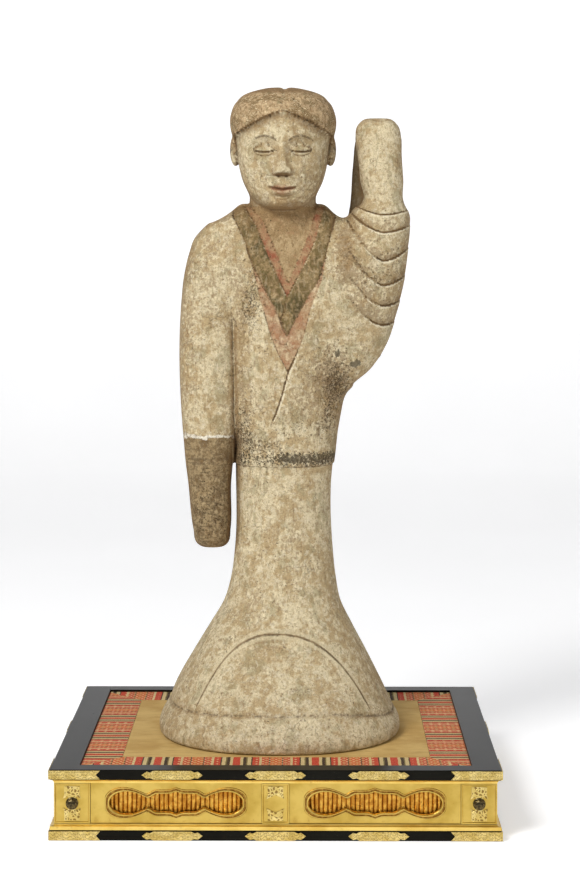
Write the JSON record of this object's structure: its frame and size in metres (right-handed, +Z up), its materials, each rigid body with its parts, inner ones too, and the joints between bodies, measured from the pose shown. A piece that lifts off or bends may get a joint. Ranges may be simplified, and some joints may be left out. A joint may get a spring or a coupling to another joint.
{
  "type": "pottery dancer figure on a lacquered stand",
  "caption": "Standing painted pottery dancer with one sleeve raised, on a low black and gilt wooden stand with a woven mat.",
  "frame": {"origin": "centre of the stand's underside", "axes": "+Z up the figure's height; -Y is the front, the way the figure looks; +X is the viewer's right, the raised sleeve's side"},
  "size_m": [0.328, 0.279, 0.5499],
  "materials": {
    "clay": "matt fired clay with worn white slip, faint red and dark pigment and brown soil",
    "lacquer": "black lacquer on wood, gloss",
    "gold_leaf": "gold leaf on lacquered wood, satin",
    "fittings": "gilt engraved sheet metal, satin; knobs dark",
    "mat_straw": "plain tan weave",
    "mat_brocade": "patterned red, orange, cream and dark brocade"
  },
  "bodies": {
    "root": {"dancer_figure": "clay", "base_board": "lacquer", "top_board": "lacquer", "mat_field": "mat_straw", "mat_border": "mat_brocade", "base_moulding": "gold_leaf", "top_moulding": "gold_leaf", "middle_post_front": "gold_leaf", "middle_post_back": "gold_leaf", "corner_post_front_left": "gold_leaf", "corner_post_front_right": "gold_leaf", "corner_post_back_right": "gold_leaf", "corner_post_back_left": "gold_leaf", "pierced_panel_front_left": "gold_leaf", "pierced_panel_front_right": "gold_leaf", "pierced_panel_right": "gold_leaf", "pierced_panel_back_left": "gold_leaf", "pierced_panel_back_right": "gold_leaf", "pierced_panel_left": "gold_leaf", "liner_front": "gold_leaf", "liner_right": "gold_leaf", "liner_back": "gold_leaf", "liner_left": "gold_leaf", "corner_cap_top_front_left": "fittings", "corner_cap_top_front_right": "fittings", "corner_cap_top_back_right": "fittings", "corner_cap_top_back_left": "fittings", "corner_cap_base_front_left": "fittings", "corner_cap_base_front_right": "fittings", "corner_cap_base_back_right": "fittings", "corner_cap_base_back_left": "fittings", "rail_mount_top_front_left": "fittings", "rail_mount_top_front_middle": "fittings", "rail_mount_top_front_right": "fittings", "rail_mount_top_right_middle": "fittings", "rail_mount_top_back_left": "fittings", "rail_mount_top_back_middle": "fittings", "rail_mount_top_back_right": "fittings", "rail_mount_top_left_middle": "fittings", "rail_mount_base_front_left": "fittings", "rail_mount_base_front_middle": "fittings", "rail_mount_base_front_right": "fittings", "rail_mount_base_right_middle": "fittings", "rail_mount_base_back_left": "fittings", "rail_mount_base_back_middle": "fittings", "rail_mount_base_back_right": "fittings", "rail_mount_base_left_middle": "fittings", "post_fitting_front_left": "fittings", "post_fitting_front_right": "fittings", "post_fitting_front_middle_lower": "fittings", "post_fitting_front_middle_upper": "fittings", "post_fitting_right_left": "fittings", "post_fitting_right_right": "fittings", "post_fitting_back_left": "fittings", "post_fitting_back_right": "fittings", "post_fitting_back_middle_lower": "fittings", "post_fitting_back_middle_upper": "fittings", "post_fitting_left_left": "fittings", "post_fitting_left_right": "fittings"}
  },
  "joints": []
}
